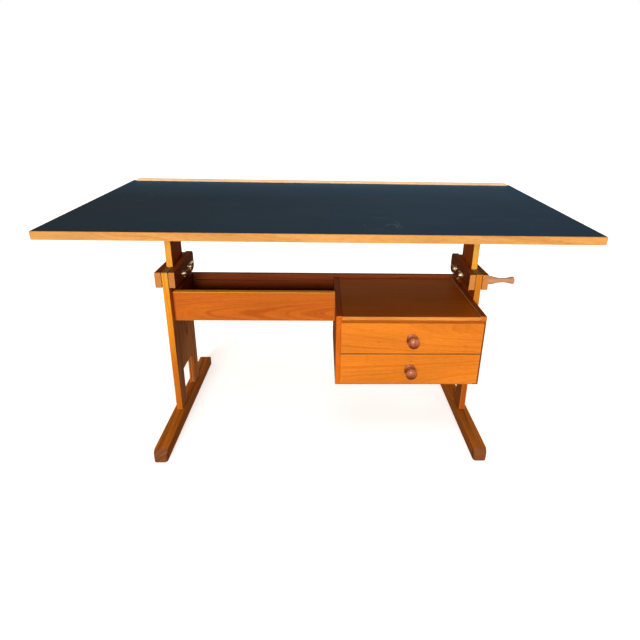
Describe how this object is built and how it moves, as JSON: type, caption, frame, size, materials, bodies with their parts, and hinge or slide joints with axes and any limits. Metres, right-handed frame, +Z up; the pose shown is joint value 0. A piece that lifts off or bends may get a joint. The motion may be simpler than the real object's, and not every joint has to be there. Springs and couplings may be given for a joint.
{
  "type": "drafting table",
  "caption": "Height-adjustable tilting drafting table on two trestle legs, with a dark laminate top, wooden edge bands, a hanging tray and a small cabinet of drawers.",
  "frame": {"origin": "on the floor under the middle of the bounding box of the table, top at its rest tilt", "axes": "+X to the user's right along the long edge, +Y away from the user, +Z up"},
  "size_m": [1.5, 0.6522, 0.8016],
  "materials": {
    "laminate": "satin blue-black laminate",
    "band_wood": "oiled light wood edge band",
    "leg_teak": "oiled teak",
    "foot_teak": "oiled teak, darker",
    "cheek_teak": "oiled solid teak",
    "tray_teak": "teak veneer, cathedral grain",
    "cabinet_teak": "teak veneer",
    "drawer_teak": "teak veneer, straight grain",
    "knob_wood": "turned hardwood, lacquered",
    "handle_wood": "turned pale hardwood, bare",
    "beech": "plain beech",
    "plywood": "thin plywood",
    "core_board": "chipboard with backing veneer",
    "fibre": "pressed fibre liner",
    "brass": "polished brass",
    "screw_steel": "zinc-plated steel",
    "quadrant_steel": "brushed steel plate",
    "glide_plastic": "nylon glide"
  },
  "bodies": {
    "root": {"foot_left": "foot_teak", "foot_right": "foot_teak", "front_post_left": "leg_teak", "front_post_right": "leg_teak", "rear_post_left": "leg_teak", "rear_post_right": "leg_teak", "inner_cheek_left": "cheek_teak", "inner_cheek_right": "cheek_teak", "outer_cheek_left": "cheek_teak", "outer_cheek_right": "cheek_teak", "cheek_dowels": "beech", "cheek_liners": "fibre", "foot_glides": "glide_plastic", "tray_front": "tray_teak", "tray_end": "tray_teak", "tray_bottom": "tray_teak", "back_rail": "tray_teak", "cabinet_side_left": "cabinet_teak", "cabinet_side_right": "cabinet_teak", "cabinet_top": "cabinet_teak", "cabinet_bottom": "cabinet_teak", "cabinet_back": "plywood", "drawer_runners": "beech", "carcass_screws": "screw_steel", "carriage_bolts": "brass", "clamp_washers": "brass", "clamp_tee_nut": "screw_steel"},
    "clamp_screw": {"clamp_handle": "handle_wood", "clamp_rod": "screw_steel"},
    "wing_nut_left_front": {"wing_nut_left_front": "brass"},
    "wing_nut_left_rear": {"wing_nut_left_rear": "brass"},
    "wing_nut_right_front": {"wing_nut_right_front": "brass"},
    "wing_nut_right_rear": {"wing_nut_right_rear": "brass"},
    "lift": {"column_left": "leg_teak", "column_right": "leg_teak", "column_tongues": "beech", "tilt_bolts": "brass", "pivot_nuts": "brass"},
    "tilt_nut_left": {"tilt_nut_left": "brass"},
    "tilt_nut_right": {"tilt_nut_right": "brass"},
    "top": {"top_core": "core_board", "top_laminate": "laminate", "front_edge_band": "band_wood", "rear_edge_band": "band_wood", "side_edge_bands": "band_wood", "stop_strip": "band_wood", "battens": "beech", "tilt_quadrant_left": "quadrant_steel", "tilt_quadrant_right": "quadrant_steel", "top_screws": "screw_steel"},
    "drawer_upper": {"drawer_upper_front": "drawer_teak", "drawer_upper_sides": "beech", "drawer_upper_back": "beech", "drawer_upper_bottom": "plywood", "drawer_upper_knob": "knob_wood"},
    "drawer_lower": {"drawer_lower_front": "drawer_teak", "drawer_lower_sides": "beech", "drawer_lower_back": "beech", "drawer_lower_bottom": "plywood", "drawer_lower_knob": "knob_wood"}
  },
  "joints": [
    {"name": "column_lift", "type": "slide", "parent": "root", "child": "lift", "axis": [0, 0, 1], "range_m": [-0.02, 0.16]},
    {"name": "top_tilt", "type": "hinge", "parent": "lift", "child": "top", "pos_m": [0, 0.0045, 0.705], "axis": [1, 0, 0], "range_deg": [-3, 40]},
    {"name": "drawer_upper_slide", "type": "slide", "parent": "root", "child": "drawer_upper", "axis": [0, -1, 0], "range_m": [0, 0.2]},
    {"name": "drawer_lower_slide", "type": "slide", "parent": "root", "child": "drawer_lower", "axis": [0, -1, 0], "range_m": [0, 0.2]},
    {"name": "clamp_screw_turn", "type": "hinge", "parent": "root", "child": "clamp_screw", "pos_m": [0.56, -0.07575, 0.5375], "axis": [1, 0, 0], "range_deg": [0, 270]},
    {"name": "wing_nut_left_front_turn", "type": "hinge", "parent": "root", "child": "wing_nut_left_front", "pos_m": [-0.4751, -0.029, 0.537], "axis": [1, 0, 0], "range_deg": [0, 270]},
    {"name": "wing_nut_left_rear_turn", "type": "hinge", "parent": "root", "child": "wing_nut_left_rear", "pos_m": [-0.4751, 0.038, 0.537], "axis": [1, 0, 0], "range_deg": [0, 270]},
    {"name": "tilt_nut_left_turn", "type": "hinge", "parent": "lift", "child": "tilt_nut_left", "pos_m": [-0.4957, 0.0045, 0.667], "axis": [1, 0, 0], "range_deg": [0, 270]},
    {"name": "wing_nut_right_front_turn", "type": "hinge", "parent": "root", "child": "wing_nut_right_front", "pos_m": [0.4751, -0.029, 0.537], "axis": [-1, 0, 0], "range_deg": [0, 270]},
    {"name": "wing_nut_right_rear_turn", "type": "hinge", "parent": "root", "child": "wing_nut_right_rear", "pos_m": [0.4751, 0.038, 0.537], "axis": [-1, 0, 0], "range_deg": [0, 270]},
    {"name": "tilt_nut_right_turn", "type": "hinge", "parent": "lift", "child": "tilt_nut_right", "pos_m": [0.4957, 0.0045, 0.667], "axis": [-1, 0, 0], "range_deg": [0, 270]}
  ]
}
